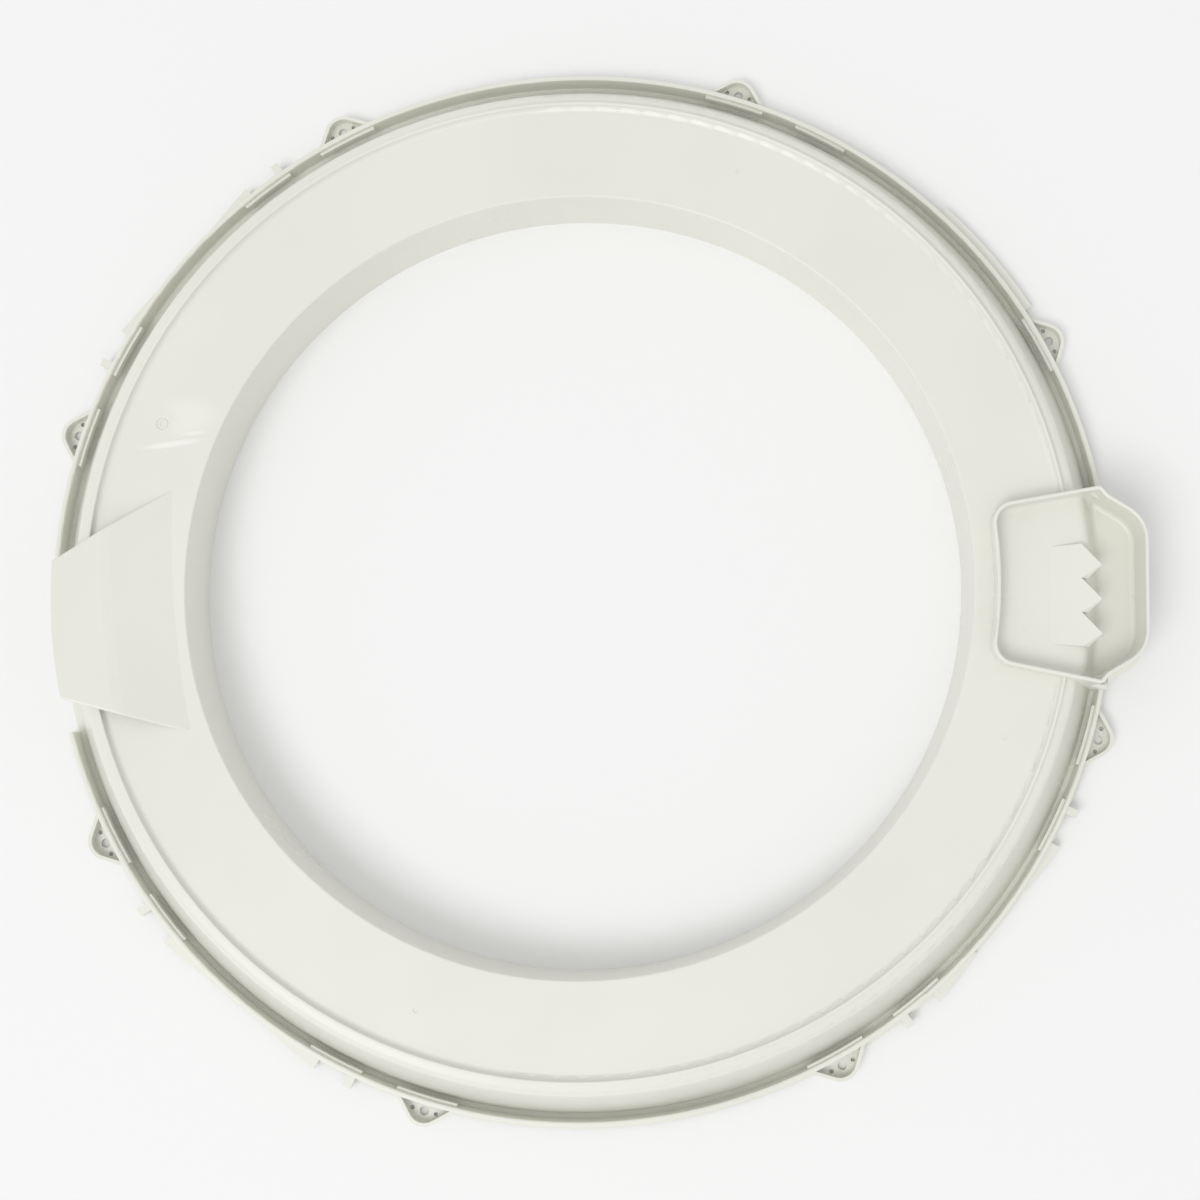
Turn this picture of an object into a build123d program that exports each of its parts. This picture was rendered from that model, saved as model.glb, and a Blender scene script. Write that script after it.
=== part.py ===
from build123d import *
import os
from math import cos, degrees, hypot, radians, sin

# Washer tub cover: one moulded ring that closes the top of a washer's outer tub.
# The origin is on the ring's axis, in the plane of its feet. +X points at the fill cup.

# Driving dimensions, in millimetres and degrees

# Ring section, from the opening outwards
opening_radius = 226.4
skirt_height = 43.0
skirt_lean = 1.9
skirt_edge_radius = 1.0
wall = 2.5
plate_width = 55.5
bead_width = 1.7
bead_height = 3.4
bead_lean = 1.2
bead_root_radius = 3.0
bead_top_radius = 0.6
shoulder_width = 6.5
shoulder_fall = 1.7
shoulder_radius = 5.0
cone_run = 16.6
channel_width = 2.8
channel_corner_radius = 0.8
lip_thickness = 3.0
lip_height = 15.6
lip_edge_radius = 0.9
flange_reach = 2.8
flange_bottom = 2.6
flange_thickness = 2.4

# Screw lugs round the lip
lug_count = 8
first_lug_angle = 28.5
lug_half_base = 18.5
lug_apex_radius = 11.5
lug_wall = 2.1
lug_bottom = 0.5
lug_floor_thickness = 2.2
lug_drop = 6.4
screw_hole_radius = 2.7
screw_hole_offset = 5.9
pin_hole_radius = 1.3
pin_hole_spacing = 7.2

# Ledges on the lip's inner wall, behind each lug and behind each clip
ledge_depth = 1.7
ledge_height = 4.0
ledge_drop = 2.6
lug_ledge_angle = 6.7
clip_ledge_angle = 6.2

# Clips: a post and a wing on the lip's outer face, beside each lug of a pair
clip_offset_angle = 10.5
post_offset_angle = 8.3
post_thickness = 4.8
post_height = 8.4
wing_start_angle = 12.2
wing_end_angle = 18.5
wide_wing_start_angle = 4.2
wide_wing_depth = 6.7
wing_height = 5.4
clip_depth = 7.6

# Deflector: a sheet that lifts off the plate and runs out over the lip
deflector_angle = 186.3
deflector_shift = 6.9
deflector_root_inset = 6.1
deflector_root_half_width = 71.0
deflector_bend_radius = 609.0
deflector_end_half_width = 39.7
deflector_end_shift = 5.0
deflector_overhang = 15.1
deflector_ramp_run = 35.0
deflector_ramp_rise = 10.0
deflector_crease_radius = 30.0
deflector_end_rise = 2.5
deflector_thickness = 2.5
deflector_edge_radius = 1.1
lip_gap_start = 179.0
lip_gap_end = 196.35
lip_gap_floor_reach = 1.1

# Fill cup: walls on the plate, with a sump that hangs outside the cone
cup_angle = -0.55
cup_half_angle = 10.85
cup_inset = 10.9
cup_corner_reach = 19.1
cup_ear_run = 4.1
cup_ear_drop = 4.9
cup_overhang = 12.3
cup_flat_half_width = 38.4
cup_wall = 2.2
cup_rise = 14.0
cup_inner_corner_radius = 13.0
cup_side_corner_radius = 6.5
cup_ear_radius = 3.0
cup_neck_radius = 6.0
cup_outer_corner_radius = 22.0
cup_floor_radius = 3.0
cup_rim_radius = 0.9
step_reach = 10.0
step_run = 7.0
step_top_radius = 6.0
step_foot_radius = 4.0
sump_depth = 28.0
sump_flange_reach = 4.7

# Toothed tongue in the cup's floor, over the step
tongue_root_run = 17.6
tongue_upper_edge = 24.6
tongue_rise = 6.0
tongue_thickness = 3.5
tongue_taper = 1.8
tooth_count = 3
tooth_length = 11.4
tooth_long_flank = 12.5
tooth_short_flank = 7.5
tooth_notch_inset = 5.9
tooth_bevel_run = 4.0
tooth_bevel_depth = 2.2

# Moulding marks on the plate
mark_radius_from_skirt = 32.3
first_mark_angle = 69.7
mark_count = 4
pin_mark_radius = 1.6
gate_mark_radius = 3.6
gate_ring_width = 0.7
mark_depth = 0.35
gate_index = 1

# Radii and heights that follow from them
skirt_top_radius = opening_radius + skirt_lean
bead_inner_radius = skirt_top_radius + plate_width
bead_outer_radius = bead_inner_radius + bead_width
shoulder_end_radius = bead_outer_radius + shoulder_width
channel_radius = shoulder_end_radius + cone_run
lip_inner_radius = channel_radius + channel_width
lip_outer_radius = lip_inner_radius + lip_thickness
flange_radius = lip_outer_radius + flange_reach
flange_top = flange_bottom + flange_thickness
shoulder_end_height = skirt_height - shoulder_fall
plate_under = skirt_height - wall
deflector_root = skirt_top_radius + deflector_root_inset
deflector_end = bead_outer_radius + deflector_overhang
step_radius = bead_outer_radius + step_reach
cup_rim = skirt_height + cup_rise
sump_floor = cup_rim - sump_depth
sump_under = sump_floor - wall
lug_top = lip_height - lug_drop
cone_drop = shoulder_end_height - wall
cone_slope = cone_run / cone_drop
cone_under_shift = wall * hypot(cone_run, cone_drop) / cone_drop
cone_under_top = shoulder_end_radius - cone_under_shift + cone_slope * (shoulder_end_height - plate_under)
cone_under_foot = channel_radius - cone_under_shift + cone_slope * wall
far = 2 * (lip_outer_radius + cup_overhang)

# How near two places have to be to count as the same
same_place = 0.01


def limited(radius, *lengths):
    # A corner's radius, held under the sides that it has to fit between.
    return min(radius, *(0.45 * length for length in lengths))


def turned(angle, shape):
    return Rot(0, 0, angle) * shape


def polar(radius, angle):
    return (radius * cos(radians(angle)), radius * sin(radians(angle)))


cup_ear = Vector(*polar(bead_outer_radius + cup_corner_reach, cup_half_angle))
cup_neck = cup_ear + Vector(cup_ear_run, -cup_ear_drop)
cup_flat_corner = Vector(lip_outer_radius + cup_overhang, cup_flat_half_width)


def sector(inner, outer, start, end):
    # A flat piece of a ring between two radii and two angles.
    middle = (start + end) / 2
    outline = [
        Line(polar(inner, start), polar(outer, start)),
        ThreePointArc(polar(outer, start), polar(outer, middle), polar(outer, end)),
        Line(polar(outer, end), polar(inner, end)),
        ThreePointArc(polar(inner, end), polar(inner, middle), polar(inner, start)),
    ]
    return make_face(outline)


def raised(sketch, bottom, top):
    return Pos(0, 0, bottom) * extrude(sketch, top - bottom)


def ring():
    # The section is a closed outline of corners, each with its own radius, turned about Z.
    bead_top = skirt_height + bead_height
    corners = [
        (opening_radius, 0, 0),
        (skirt_top_radius, skirt_height, skirt_edge_radius),
        (bead_inner_radius - bead_lean, skirt_height, limited(bead_root_radius, 4 * bead_height)),
        (bead_inner_radius, bead_top, limited(bead_top_radius, bead_height, bead_width)),
        (bead_outer_radius, bead_top, limited(bead_top_radius, bead_height, bead_width)),
        (bead_outer_radius, skirt_height, limited(bead_top_radius, bead_height)),
        (shoulder_end_radius, shoulder_end_height, limited(shoulder_radius, 2 * shoulder_width)),
        (channel_radius, wall, limited(channel_corner_radius, channel_width)),
        (lip_inner_radius, wall, limited(channel_corner_radius, channel_width)),
        (lip_inner_radius, lip_height, limited(lip_edge_radius, lip_thickness)),
        (lip_outer_radius, lip_height, limited(lip_edge_radius, lip_thickness)),
        (lip_outer_radius, flange_top, 0),
        (flange_radius, flange_top, 0),
        (flange_radius, flange_bottom, 0),
        (lip_outer_radius, flange_bottom, 0),
        (lip_outer_radius, 0, 0),
        (cone_under_foot, 0, 0),
        (cone_under_top, plate_under, 0),
        (skirt_top_radius + wall, plate_under, 0),
        (opening_radius + wall, 0, 0),
    ]
    outline = FilletPolyline(
        *[(r, 0, z) for r, z, _ in corners],
        radius=[corner_radius for _, _, corner_radius in corners],
        close=True,
    )
    return revolve(make_face(outline), Axis.Z)


def lip_gap():
    # The lip and its flange stop under the deflector: only the channel's floor runs on.
    outer = flange_radius + wall
    above = sector(channel_radius + channel_width / 2, outer, lip_gap_start, lip_gap_end)
    beyond = sector(lip_inner_radius + lip_gap_floor_reach, outer, lip_gap_start, lip_gap_end)
    return raised(above, wall, lip_height + wall) + raised(beyond, -wall, lip_height + wall)


def lug_outline(half_base, apex_radius, start):
    # A right-angled triangle with its long side on the lip and its apex rounded.
    tip = start + half_base
    outline = Polyline((start, -half_base), (tip, 0), (start, half_base), close=True)
    corner = make_face(outline)
    return fillet(corner.vertices().sort_by(Axis.X)[-1], apex_radius)


def lug_pocket():
    half_base = lug_half_base - lug_wall * 2 ** 0.5
    pocket = lug_outline(half_base, lug_apex_radius - lug_wall, lip_outer_radius)
    return raised(pocket, lug_bottom + lug_floor_thickness, lug_top + wall)


def lugs():
    # Each lug is a walled pocket: one screw hole with a pin hole on either side.
    body_start = lip_outer_radius - lip_thickness / 2
    body = lug_outline(lug_half_base + lip_thickness / 2, lug_apex_radius, body_start)
    lug = raised(body, lug_bottom, lug_top) - lug_pocket()
    hole_line = lip_outer_radius + screw_hole_offset
    holes = Pos(hole_line, 0) * Circle(screw_hole_radius)
    for side in (-1, 1):
        holes += Pos(hole_line, side * pin_hole_spacing) * Circle(pin_hole_radius)
    lug -= raised(holes, 0, lug_top)
    return [turned(angle, lug) for angle in lug_angles()]


def lug_angles():
    return [first_lug_angle + i * 360 / lug_count for i in range(lug_count)]


def clip_places():
    # Each lug of a pair has a clip on the side that faces the other lug: (lug angle, side).
    return [(angle, 1 if i % 2 == 0 else -1) for i, angle in enumerate(lug_angles())]


def ledges():
    top = lip_height - ledge_drop
    places = [(angle, lug_ledge_angle) for angle in lug_angles()]
    places += [(angle + side * clip_offset_angle, clip_ledge_angle) for angle, side in clip_places()[1:]]
    pieces = []
    for angle, length in places:
        inner = lip_inner_radius - ledge_depth
        outer = lip_inner_radius + lip_thickness / 2
        shelf = sector(inner, outer, angle - length / 2, angle + length / 2)
        pieces.append(raised(shelf, top - ledge_height, top))
    return pieces


def wing(side):
    # A flat fin, full depth at its start, that runs down to the flange at its end.
    root = lip_outer_radius - lip_thickness / 2
    middle = (wing_start_angle + wing_end_angle) / 2
    start, end = side * wing_start_angle, side * wing_end_angle
    outline = [
        Line(polar(root, start), polar(lip_outer_radius + clip_depth, start)),
        Line(polar(lip_outer_radius + clip_depth, start), polar(flange_radius, end)),
        Line(polar(flange_radius, end), polar(root, end)),
        ThreePointArc(polar(root, end), polar(root, side * middle), polar(root, start)),
    ]
    return raised(make_face(outline), flange_bottom, flange_bottom + wing_height)


def clips():
    # The first pair of lugs has one long wing of even depth between them, and no posts.
    root = lip_outer_radius - lip_thickness / 2
    wide = sector(root, lip_outer_radius + wide_wing_depth, wide_wing_start_angle, wing_end_angle)
    pieces = [turned(first_lug_angle, raised(wide, flange_bottom, flange_bottom + wing_height))]
    post_length = lip_outer_radius + clip_depth - root
    post = Pos(root + post_length / 2, 0) * Rectangle(post_length, post_thickness)
    post = raised(post, flange_bottom, flange_bottom + post_height)
    for angle, side in clip_places()[2:]:
        pieces.append(turned(angle + side * post_offset_angle, post))
        pieces.append(turned(angle, wing(side)))
    return pieces


def deflector_sheet():
    # Side section of the sheet, a ramp and a flatter end, swept along a wide bend.
    crease = deflector_bend_radius + deflector_ramp_run
    end = deflector_bend_radius + deflector_end - deflector_root + deflector_thickness
    crease_top = skirt_height + deflector_ramp_rise
    end_top = crease_top + deflector_end_rise
    corners = [
        (deflector_bend_radius, skirt_height, 0),
        (crease, crease_top, deflector_crease_radius),
        (end, end_top, 0),
        (end, end_top - deflector_thickness, 0),
        (crease, crease_top - deflector_thickness, deflector_crease_radius),
        (deflector_bend_radius, skirt_height - deflector_thickness, 0),
    ]
    outline = FilletPolyline(
        *[(r, 0, z) for r, z, _ in corners],
        radius=[corner_radius for _, _, corner_radius in corners],
        close=True,
    )
    half_sweep = 2 * degrees(deflector_root_half_width / deflector_bend_radius)
    sheet = revolve(make_face(outline), Axis.Z, revolution_arc=half_sweep)
    return Pos(deflector_root - deflector_bend_radius, 0, 0) * sheet


def deflector_half(end_half_width, axis_offset):
    # One side of the sheet, from its middle line to a straight slanting edge with rounded corners.
    bend_drop = deflector_root_half_width ** 2 / (2 * deflector_bend_radius)
    corner = Vector(deflector_root - bend_drop, deflector_root_half_width)
    end_corner = Vector((deflector_end ** 2 - (end_half_width - axis_offset) ** 2) ** 0.5, end_half_width)
    beyond = end_corner + 0.2 * (end_corner - corner)
    plan = make_face(Polyline((corner.X, 0), (beyond.X, 0), beyond, corner, close=True))
    plan &= Pos(0, axis_offset) * Circle(deflector_end)
    half = deflector_sheet() & raised(plan, 0, 2 * cup_rim)
    side_edges = [
        edge for edge in half.edges()
        if edge.bounding_box().min.Y > end_half_width - same_place and edge.length > 2 * deflector_thickness
    ]
    return fillet(side_edges, limited(deflector_edge_radius, deflector_thickness))


def deflector():
    # The sheet sits a little to one side, and its end a little further back than its root.
    first = deflector_half(deflector_end_half_width + deflector_end_shift, deflector_shift)
    second = deflector_half(deflector_end_half_width - deflector_end_shift, -deflector_shift)
    sheet = first + mirror(second, Plane.XZ)
    return turned(deflector_angle, Pos(0, -deflector_shift, 0) * sheet)


def cup_outline(corners, corner_radii):
    # Plan of the cup: an arc along the opening, two radial sides, two slants and a flat end.
    inner = skirt_top_radius + cup_inset
    start = Vector(*polar(inner, cup_half_angle))
    upper = [start] + corners + [cup_flat_corner]
    lower = [Vector(point.X, -point.Y) for point in reversed(upper)]
    back = ThreePointArc(lower[-1], (inner, 0), start)
    outline = make_face([*Polyline(*upper, *lower).edges(), back])
    radii = [cup_inner_corner_radius] + corner_radii + [cup_outer_corner_radius]
    for point, radius in zip(upper, radii):
        pair = [v for v in outline.vertices() if abs(v.X - point.X) < same_place]
        outline = fillet(pair, radius)
    return outline


def eared_outline():
    # The sides run on past the slants and end in small ears.
    return cup_outline([cup_ear, cup_neck], [cup_ear_radius, cup_neck_radius])


def plain_outline():
    # Without the ears, the slants run back until they meet the sides.
    slant = cup_neck - cup_flat_corner
    side = cup_ear.Y / cup_ear.X
    run = (cup_flat_corner.X * side - cup_flat_corner.Y) / (slant.Y - slant.X * side)
    return cup_outline([cup_flat_corner + run * slant], [cup_side_corner_radius])


def cup_core():
    # What lies under the open cup: the plate, a rounded slope and the sump's floor, turned about Z.
    corners = [
        (0, sump_under, 0),
        (0, skirt_height, 0),
        (step_radius, skirt_height, step_top_radius),
        (step_radius + step_run, sump_floor, step_foot_radius),
        (far, sump_floor, 0),
        (far, sump_under, 0),
    ]
    outline = FilletPolyline(
        *[(r, 0, z) for r, z, _ in corners],
        radius=[corner_radius for _, _, corner_radius in corners],
        close=True,
    )
    return revolve(make_face(outline), Axis.Z)


def cup_cavity():
    # What is open inside the cup, rounded where its walls meet the floor, the slope and the sump.
    inside = offset(plain_outline(), -cup_wall)
    cavity = raised(inside, sump_under, cup_rim + wall) - cup_core()
    cavity = fillet([edge for edge in cavity.edges() if at_wall_foot(edge)], cup_floor_radius)
    ears = offset(eared_outline(), -cup_wall) - inside
    return cavity + raised(ears, skirt_height, cup_rim + wall)


def at_wall_foot(edge):
    box = edge.bounding_box()
    upright = hypot(box.size.X, box.size.Y) < same_place
    across = edge.geom_type == GeomType.CIRCLE and edge.radius > bead_inner_radius
    return box.max.Z < cup_rim and not upright and not across


def edges_at(solid, height):
    return [edge for edge in solid.edges() if abs(edge.center().Z - height) < same_place]


def cone_hollow():
    return Cone(cone_under_foot, cone_under_top, plate_under, align=(Align.CENTER, Align.CENTER, Align.MIN))


def cup(cavity):
    # A block on the plate and outside the cone, hollowed, with a flange round the sump's foot outside the lip.
    outline = eared_outline()
    flange = offset(outline, sump_flange_reach) - Circle(lip_inner_radius + lip_thickness / 2)
    body = raised(outline, sump_under, cup_rim) + raised(flange, sump_under, sump_floor)
    body -= cone_hollow()
    body -= cavity
    body = fillet(edges_at(body, cup_rim), limited(cup_rim_radius, cup_wall))
    return [body] + channel_ends()


def channel_ends():
    # Below the cup's two sides, a plate closes the channel.
    plate_angle = degrees(cup_wall / lip_inner_radius)
    outer = lip_inner_radius + lip_thickness / 2
    ends = []
    for side in (-1, 1):
        edge = side * cup_half_angle
        first, last = sorted((edge, edge - side * plate_angle))
        plate = raised(sector(shoulder_end_radius, outer, first, last), wall / 2, sump_floor)
        ends.append(plate - cone_hollow())
    return ends


def tongue():
    # A ramp that leaves the floor at its root and ends in slanted teeth over the sump.
    notch = step_radius - tooth_notch_inset
    tip = notch + tooth_length
    root = notch - tongue_root_run
    foot = notch + tooth_bevel_run
    climb = tongue_rise / (tip - root)
    pitch = tooth_long_flank + tooth_short_flank
    points = [(root, tongue_upper_edge - tongue_taper)]
    bevels = []
    for i in range(tooth_count):
        start = tongue_upper_edge - i * pitch
        end = start - pitch
        points += [(notch, start), (tip, start - tooth_long_flank), (foot, end)]
        low_corner = Vector(notch, end, skirt_height + climb * (notch - root))
        to_tip = Vector(tip - notch, tooth_short_flank, climb * (tip - notch))
        to_foot = Vector(foot - notch, 0, climb * (foot - notch) - tooth_bevel_depth)
        bevel = Polyline(low_corner, low_corner + 1.2 * to_tip, low_corner + 1.4 * to_foot, close=True)
        bevels.append(make_face(bevel))
    points.append((root, tongue_upper_edge - tooth_count * pitch + tongue_taper))
    plan = make_face(Polyline(*points, close=True))
    section = [
        (root, 0, skirt_height),
        (tip, 0, skirt_height + tongue_rise),
        (tip, 0, skirt_height + tongue_rise - tongue_thickness),
        (root, 0, plate_under),
    ]
    ramp = extrude(make_face(Polyline(*section, close=True)), tooth_count * pitch, both=True)
    ramp &= raised(plan, 0, 2 * cup_rim)
    return ramp - [extrude(bevel, cup_rise, dir=(0, 0, 1)) for bevel in bevels]


def marks():
    # Small round marks sunk in the plate: pin marks, and one gate with a ring round it.
    cuts = []
    for i in range(mark_count):
        place = polar(skirt_top_radius + mark_radius_from_skirt, first_mark_angle + i * 360 / mark_count)
        shape = Circle(pin_mark_radius)
        if i == gate_index:
            shape += Circle(gate_mark_radius) - Circle(gate_mark_radius - gate_ring_width)
        cuts.append(Pos(*place) * raised(shape, skirt_height - mark_depth, skirt_height + wall))
    return cuts


def tub_cover():
    cavity = cup_cavity()
    body = ring() - lip_gap() - turned(cup_angle, cavity)
    body -= [turned(angle, lug_pocket()) for angle in lug_angles()]
    body += [turned(cup_angle, piece) for piece in cup(cavity)]
    body += turned(cup_angle, tongue())
    body += lugs() + ledges() + clips()
    body += deflector()
    body -= marks()
    return body


os.makedirs("parts", exist_ok=True)
cover = tub_cover()
print("tub_cover volume cm3", round(cover.volume / 1000, 1), "solids", len(cover.solids()))
export_step(cover, "parts/tub_cover.step")
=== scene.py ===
import math

import bpy
from mathutils import Matrix, Vector

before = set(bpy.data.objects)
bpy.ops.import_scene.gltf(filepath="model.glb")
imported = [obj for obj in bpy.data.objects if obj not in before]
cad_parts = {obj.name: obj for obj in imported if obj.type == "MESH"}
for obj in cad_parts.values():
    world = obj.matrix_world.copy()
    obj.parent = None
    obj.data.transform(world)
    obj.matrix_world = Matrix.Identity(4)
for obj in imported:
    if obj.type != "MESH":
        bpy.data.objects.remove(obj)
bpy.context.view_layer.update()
print("frame loaded:", sorted(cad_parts))

mm = 0.001


def linearColour(hexText):
    # sRGB hex to the linear values that a shader socket takes
    channels = [int(hexText[i:i + 2], 16) / 255 for i in (1, 3, 5)]
    linear = [c / 12.92 if c <= 0.04045 else ((c + 0.055) / 1.055) ** 2.4 for c in channels]
    return linear + [1.0]


def perMetre(sizeMm):
    # pattern scale for a feature of that size
    return 1 / (sizeMm * mm)


def addNode(tree, kind, values=None, links=None, **settings):
    # one node with its settings, its fixed socket values and its links
    node = tree.nodes.new(kind)
    for name, value in settings.items():
        setattr(node, name, value)
    for socket, value in (values or {}).items():
        node.inputs[socket].default_value = value
    for socket, source in (links or {}).items():
        tree.links.new(source, node.inputs[socket])
    return node


def newMaterial(name):
    material = bpy.data.materials.new(name)
    material.use_nodes = True
    material.node_tree.nodes.clear()
    return material, material.node_tree


# Tub cover: injection-moulded polypropylene, a warm light grey.
# A satin skin off a polished tool: soft highlights, faint clouding where the melt
# cooled unevenly, and a pale blush round the gate.
coverPlastic = {
    "colour": "#E5E5DC",
    "cloudColour": "#E2E2D9",
    "cloudSize": 90,               # mm, slow drift of tone
    "cloudRange": (0.35, 0.65),    # noise values between which the tone drifts
    "mottleSize": 45,              # mm, patches of more and less gloss
    "mottleRange": (0.3, 0.7),     # noise values between which the gloss drifts
    "roughness": (0.27, 0.33),
    "grainSize": 2.2,              # mm, the real skin is finer and is drawn coarser to show
    "grainDepth": 0.002,           # mm
    "ior": 1.49,
    "gate": (-244.4, 90.4, 43.0),  # mm, in the ring's frame
    "blushColour": "#F2F2EC",
    "dullColour": "#DEDED4",
    "markDepth": 5.0,              # mm, keeps the marks on the plate's face
    "markCore": 0.35,              # share of a mark's half size that has its full strength
}

# Marks round the gate: offset, half length and half width in mm, turn in degrees, strength
gateBlush = [
    ((12, 4), (26, 15), 10, 0.35),
    ((5.6, -12), (22, 2.4), 8.4, 0.8),
    ((18, -5.4), (9, 1.6), 5, 0.6),
]
gateDull = [((0, 2), (11, 12), 0, 0.4)]


def softSpot(tree, place, p, spot):
    # a soft-edged oval on the plate beside the gate
    offset, half, turn, strength = spot
    centre = [p["gate"][0] + offset[0], p["gate"][1] + offset[1], p["gate"][2]]
    local = addNode(tree, "ShaderNodeMapping",
                    {"Location": [c * mm for c in centre],
                     "Rotation": (0, 0, math.radians(turn)),
                     "Scale": (half[0] * mm, half[1] * mm, p["markDepth"] * mm)},
                    {"Vector": place}, vector_type="TEXTURE")
    away = addNode(tree, "ShaderNodeVectorMath", None, {0: local.outputs["Vector"]},
                   operation="LENGTH")
    mask = addNode(tree, "ShaderNodeMapRange",
                   {"From Min": p["markCore"], "From Max": 1.0, "To Min": strength, "To Max": 0.0},
                   {"Value": away.outputs["Value"]}, interpolation_type="SMOOTHSTEP")
    return mask.outputs["Result"]


def tint(tree, colour, overlay, share):
    # lays a second colour over the first by a mask
    mix = addNode(tree, "ShaderNodeMix", {"B": linearColour(overlay)},
                  {"A": colour, "Factor": share}, data_type="RGBA")
    return mix.outputs["Result"]


def makeCoverPlastic(p):
    material, tree = newMaterial("polypropyleneMoulded")
    place = addNode(tree, "ShaderNodeTexCoord").outputs["Object"]

    # colour: two close tones, then the marks round the gate
    cloud = addNode(tree, "ShaderNodeTexNoise",
                    {"Scale": perMetre(p["cloudSize"]), "Detail": 2.0, "Roughness": 0.45},
                    {"Vector": place})
    spread = addNode(tree, "ShaderNodeMapRange",
                     {"From Min": p["cloudRange"][0], "From Max": p["cloudRange"][1]},
                     {"Value": cloud.outputs["Fac"]})
    ground = addNode(tree, "ShaderNodeMix",
                     {"A": linearColour(p["cloudColour"]), "B": linearColour(p["colour"])},
                     {"Factor": spread.outputs["Result"]}, data_type="RGBA")
    colour = ground.outputs["Result"]
    for spot in gateBlush:
        colour = tint(tree, colour, p["blushColour"], softSpot(tree, place, p, spot))
    for spot in gateDull:
        colour = tint(tree, colour, p["dullColour"], softSpot(tree, place, p, spot))

    # skin: patches of gloss and a very fine grain
    mottle = addNode(tree, "ShaderNodeTexNoise",
                     {"Scale": perMetre(p["mottleSize"]), "Detail": 3.0, "Roughness": 0.55},
                     {"Vector": place})
    roughness = addNode(tree, "ShaderNodeMapRange",
                        {"From Min": p["mottleRange"][0], "From Max": p["mottleRange"][1],
                         "To Min": p["roughness"][0], "To Max": p["roughness"][1]},
                        {"Value": mottle.outputs["Fac"]})
    grain = addNode(tree, "ShaderNodeTexNoise",
                    {"Scale": perMetre(p["grainSize"]), "Detail": 2.0, "Roughness": 0.5},
                    {"Vector": place})
    bump = addNode(tree, "ShaderNodeBump", {"Strength": 1.0, "Distance": p["grainDepth"] * mm},
                   {"Height": grain.outputs["Fac"]})

    shader = addNode(tree, "ShaderNodeBsdfPrincipled", {"IOR": p["ior"]},
                     {"Base Color": colour, "Roughness": roughness.outputs["Result"],
                      "Normal": bump.outputs["Normal"]})
    addNode(tree, "ShaderNodeOutputMaterial", None, {"Surface": shader.outputs["BSDF"]})
    return material


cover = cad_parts["tub_cover"]
cover.data.materials.clear()
cover.data.materials.append(makeCoverPlastic(coverPlastic))
print("cover dressed")


# Pale floor sheet, matt paper
floorSheet = {
    "half": 3.4,            # m, its far edge then fades into the backdrop
    "colour": "#F2F2F2",
    "roughness": 0.85,
}


def makeFloor(p):
    half = p["half"]
    mesh = bpy.data.meshes.new("floorSheet")
    corners = [(-half, -half, 0), (half, -half, 0), (half, half, 0), (-half, half, 0)]
    mesh.from_pydata(corners, [], [(0, 1, 2, 3)])
    floor = bpy.data.objects.new("floorSheet", mesh)
    bpy.context.scene.collection.objects.link(floor)
    material, tree = newMaterial("mattPaper")
    shader = addNode(tree, "ShaderNodeBsdfPrincipled",
                     {"Base Color": linearColour(p["colour"]), "Roughness": p["roughness"]})
    addNode(tree, "ShaderNodeOutputMaterial", None, {"Surface": shader.outputs["BSDF"]})
    mesh.materials.append(material)
    return floor


makeFloor(floorSheet)
print("floor laid")


# Soft studio light: a large panel high up on the near left, and an even surround
studio = {
    "worldStrength": 0.76,
    "worldColour": "#FFFFFF",
    "backdropColour": "#F3F3F3",
    "backdropStrength": 1.0,
    "keyPlace": (-3.2, -3.9, 8.2),  # m
    "keySize": 4.4,                 # m
    "keyPower": 310,                # W
}


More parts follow.
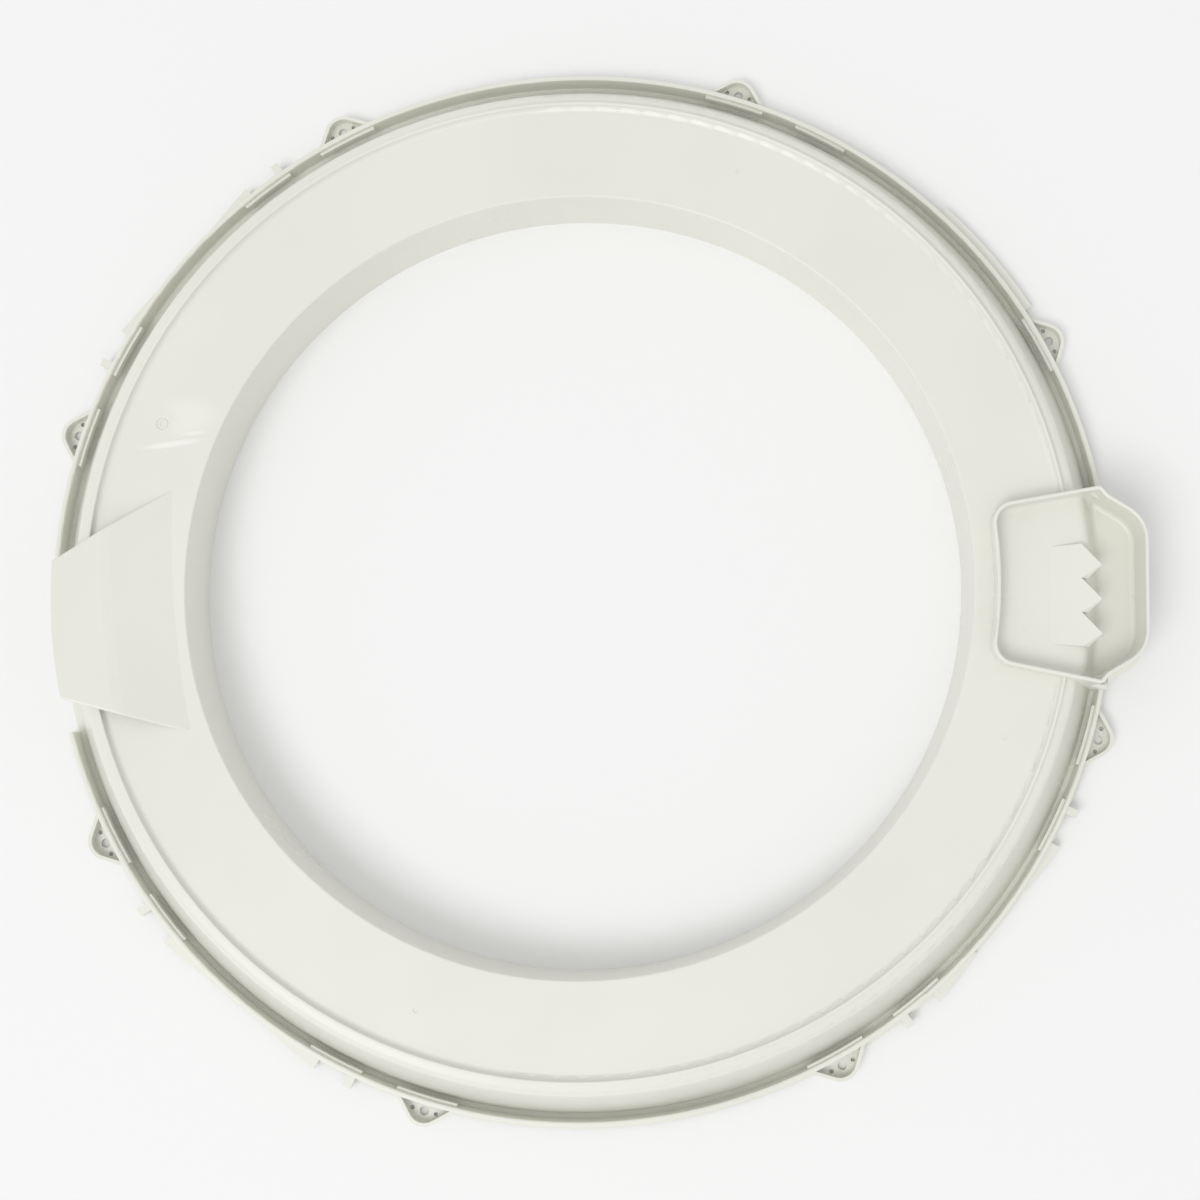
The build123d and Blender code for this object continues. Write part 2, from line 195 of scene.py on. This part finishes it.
def lightStudio(p):
    world = bpy.data.worlds.new("studioWorld")
    bpy.context.scene.world = world
    world.use_nodes = True
    tree = world.node_tree
    tree.nodes.clear()
    surround = addNode(tree, "ShaderNodeBackground",
                       {"Color": linearColour(p["worldColour"]), "Strength": p["worldStrength"]})
    backdrop = addNode(tree, "ShaderNodeBackground",
                       {"Color": linearColour(p["backdropColour"]),
                        "Strength": p["backdropStrength"]})
    # the camera and mirrored or bent rays see the backdrop, the rest is lit by the surround
    path = addNode(tree, "ShaderNodeLightPath")
    seen = path.outputs["Is Camera Ray"]
    for ray in ("Is Glossy Ray", "Is Transmission Ray"):
        seen = addNode(tree, "ShaderNodeMath", None, {0: seen, 1: path.outputs[ray]},
                       operation="MAXIMUM").outputs["Value"]
    sky = addNode(tree, "ShaderNodeMixShader", None,
                  {0: seen, 1: surround.outputs["Background"], 2: backdrop.outputs["Background"]})
    addNode(tree, "ShaderNodeOutputWorld", None, {"Surface": sky.outputs["Shader"]})

    lamp = bpy.data.lights.new("keyPanel", "AREA")
    lamp.shape = "SQUARE"
    lamp.size = p["keySize"]
    lamp.energy = p["keyPower"]
    key = bpy.data.objects.new("keyPanel", lamp)
    key.location = p["keyPlace"]
    key.rotation_euler = (-Vector(p["keyPlace"])).to_track_quat("-Z", "Y").to_euler()
    bpy.context.scene.collection.objects.link(key)


lightStudio(studio)
bpy.context.scene.view_settings.view_transform = "Standard"
print("studio lit")


# Camera nearly overhead, as in the photograph
photoCamera = {
    "place": (0.07433, -0.11645, 1.04953),    # m
    "forward": (0.01542, 0.10369, -0.99449),
    "right": (0.99987, 0.00184, 0.01569),
    "lens": 52.46,                            # mm
    "sensor": 36.0,                           # mm
    "shiftX": -0.114,                         # the photograph is cropped to one side
}


def placeCamera(p):
    lens = bpy.data.cameras.new("photoCamera")
    lens.lens = p["lens"]
    lens.sensor_width = p["sensor"]
    lens.shift_x = p["shiftX"]
    camera = bpy.data.objects.new("photoCamera", lens)
    back = -Vector(p["forward"]).normalized()
    up = back.cross(Vector(p["right"])).normalized()
    right = up.cross(back)
    turn = Matrix((right, up, back)).transposed()
    camera.matrix_world = Matrix.Translation(p["place"]) @ turn.to_4x4()
    bpy.context.scene.collection.objects.link(camera)
    bpy.context.scene.camera = camera


placeCamera(photoCamera)
print("camera placed")
